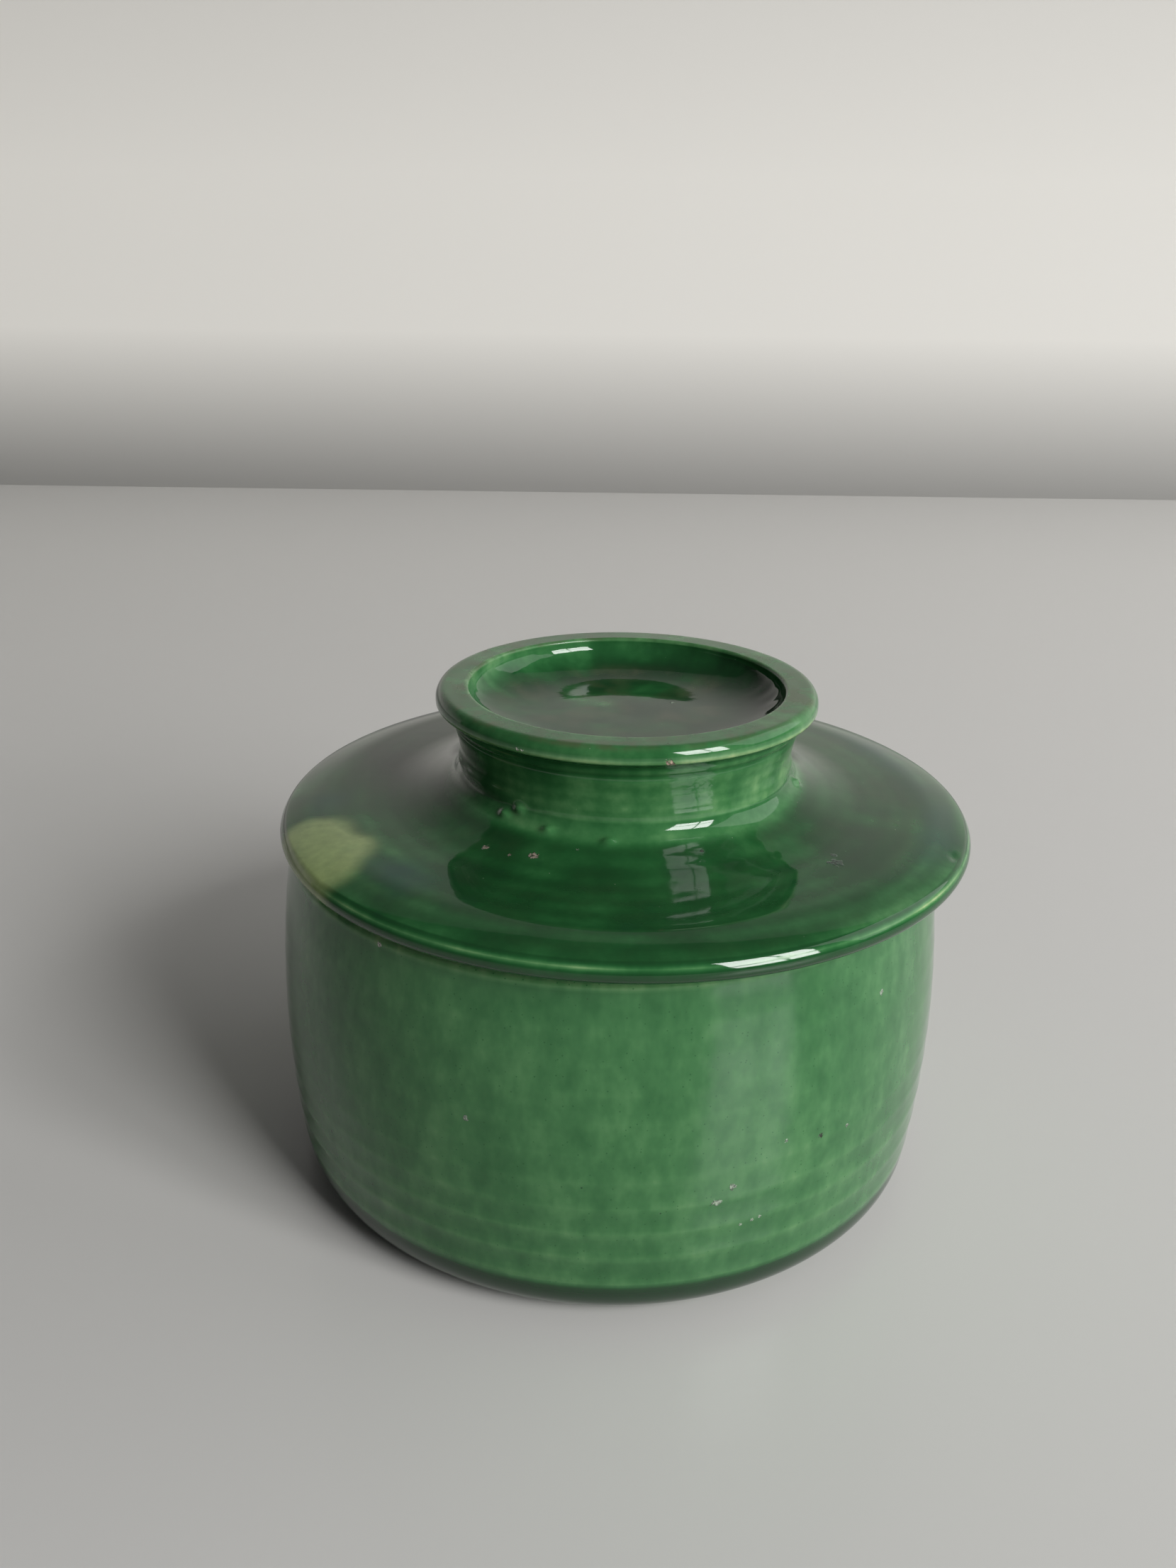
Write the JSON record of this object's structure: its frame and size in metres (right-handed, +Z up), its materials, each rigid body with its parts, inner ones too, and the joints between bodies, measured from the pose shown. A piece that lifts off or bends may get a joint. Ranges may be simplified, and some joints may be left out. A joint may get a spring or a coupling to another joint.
{
  "type": "lidded crock",
  "caption": "Squat green-glazed earthenware pot with a loose wide-brimmed lid. The lid's dished grip ring is also its foot, and a bell-shaped cup hangs under the brim.",
  "frame": {"origin": "centre of the crock's flat base, on the surface it stands on", "axes": "+Z up, along the crock's axis; the lid sits off that axis towards +X"},
  "size_m": [0.1314, 0.13, 0.0953],
  "materials": {
    "crock_glaze": "gloss glaze",
    "lid_glaze": "gloss glaze",
    "bell_glaze": "gloss glaze"
  },
  "bodies": {
    "crock": {"crock_wall": "crock_glaze", "crock_floor": "crock_glaze"},
    "lid": {"lid_brim": "lid_glaze", "lid_grip_ring": "lid_glaze", "lid_bell": "bell_glaze"}
  },
  "joints": [
    {"name": "lid_lift", "type": "slide", "parent": "crock", "child": "lid", "axis": [0, 0, 1], "range_m": [0, 0.06]}
  ]
}
